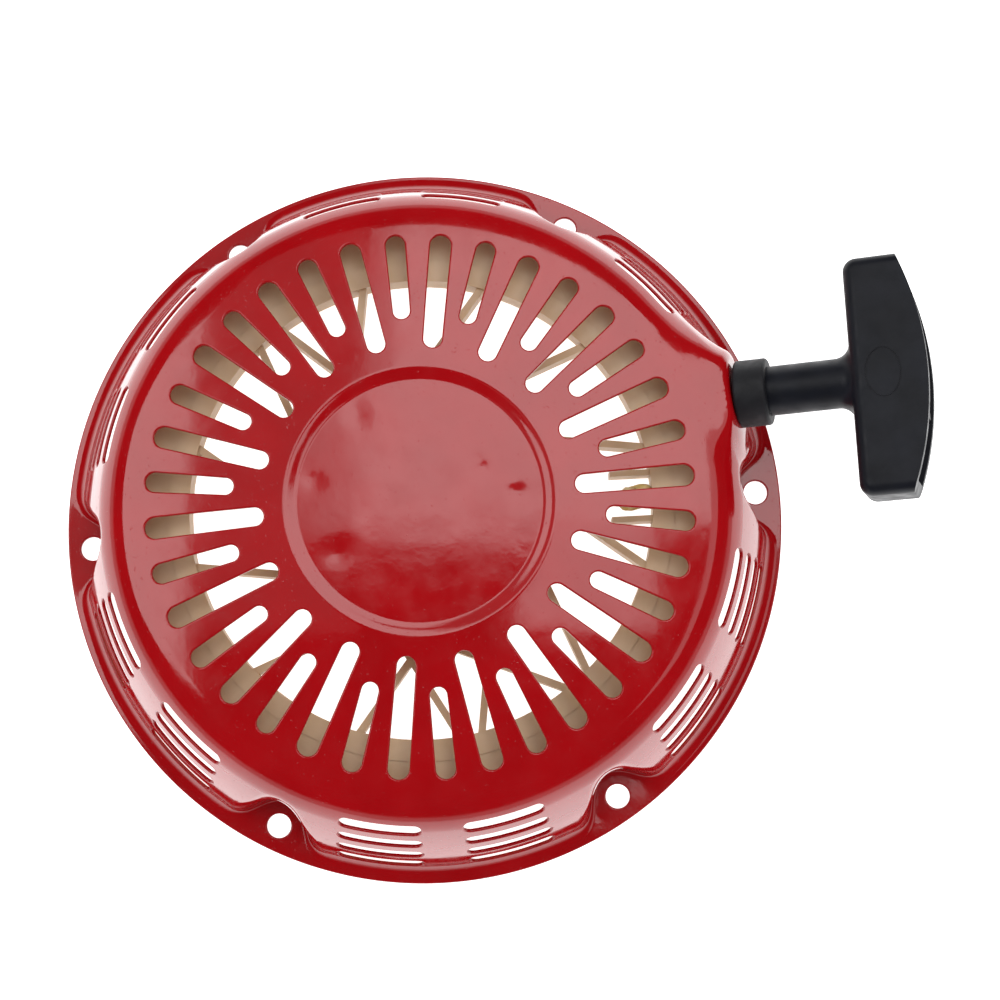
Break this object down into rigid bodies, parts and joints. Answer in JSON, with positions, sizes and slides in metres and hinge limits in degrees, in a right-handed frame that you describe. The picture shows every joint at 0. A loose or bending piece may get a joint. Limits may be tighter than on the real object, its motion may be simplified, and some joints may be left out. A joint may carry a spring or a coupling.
{
  "type": "recoil starter",
  "caption": "Pull-cord recoil starter: pressed steel bell case with vent slots, spring-returned rope reel, swinging pawls and a T handle.",
  "frame": {"origin": "centre of the mounting flange's underside, in the middle of the six bolt holes", "axes": "+Z along the reel's axis, out of the case and away from the engine; the handle leaves towards +X"},
  "size_m": [0.267, 0.226, 0.0572],
  "materials": {
    "red_enamel": "glossy baked enamel",
    "zinc_steel": "zinc plated, satin",
    "turned_steel": "turned",
    "plated_steel": "bright plated",
    "spring_steel": "drawn wire",
    "blued_spring_steel": "blued strip, oiled",
    "hardened_steel": "hardened, satin",
    "ivory_nylon": "moulded nylon, semi-matte",
    "rope": "braided nylon",
    "black_grip": "moulded, fine satin grain",
    "black_rubber": "moulded rubber"
  },
  "bodies": {
    "housing": {"case": "red_enamel", "mounting_plate": "zinc_steel", "center_post": "turned_steel", "rope_guide": "plated_steel", "center_screw": "plated_steel", "retaining_washer": "plated_steel", "friction_spring": "spring_steel", "rope_lead": "rope"},
    "reel": {"reel": "ivory_nylon", "main_spring": "blued_spring_steel", "pawl_spring_1": "spring_steel", "pawl_spring_2": "spring_steel", "rope_winding": "rope", "reel_knot": "rope"},
    "ratchet_guide": {"ratchet_guide": "zinc_steel"},
    "pawl_1": {"pawl_1": "hardened_steel"},
    "pawl_2": {"pawl_2": "hardened_steel"},
    "handle": {"grip": "black_grip", "grip_collar": "black_rubber", "rope_retainer": "plated_steel", "rope_handle_run": "rope", "handle_knot": "rope"}
  },
  "joints": [
    {"name": "reel_spin", "type": "hinge", "parent": "housing", "child": "reel", "pos_m": [0, 0, 0.0286], "axis": [0, 0, -1], "range_deg": [0, 668], "stiffness_Nm_per_rad": 0.04, "springref_deg": -229.18, "deforming": ["main_spring", "rope_lead"]},
    {"name": "handle_pull", "type": "slide", "parent": "housing", "child": "handle", "axis": [0.9524, 0.0499, 0.3007], "range_m": [0, 0.9005]},
    {"name": "pawl_1_swing", "type": "hinge", "parent": "reel", "child": "pawl_1", "pos_m": [0.00777, 0.02898, 0.0195], "axis": [0, 0, 1], "range_deg": [0, 28], "stiffness_Nm_per_rad": 0.004, "springref_deg": -28.65, "deforming": ["pawl_spring_1", "pawl_spring_2"]},
    {"name": "pawl_2_swing", "type": "hinge", "parent": "reel", "child": "pawl_2", "pos_m": [-0.00777, -0.02898, 0.0195], "axis": [0, 0, 1], "range_deg": [0, 28.1]},
    {"name": "guide_turn", "type": "hinge", "parent": "reel", "child": "ratchet_guide", "pos_m": [0, 0, 0.0156], "axis": [0, 0, 1], "range_deg": [0, 35.1]}
  ],
  "couplings": [
    {"joint": "handle_pull", "follows": "reel_spin", "m_per_rad": 0.077195},
    {"joint": "pawl_2_swing", "follows": "pawl_1_swing", "ratio": 1},
    {"joint": "guide_turn", "follows": "pawl_1_swing", "ratio": 1.25}
  ]
}
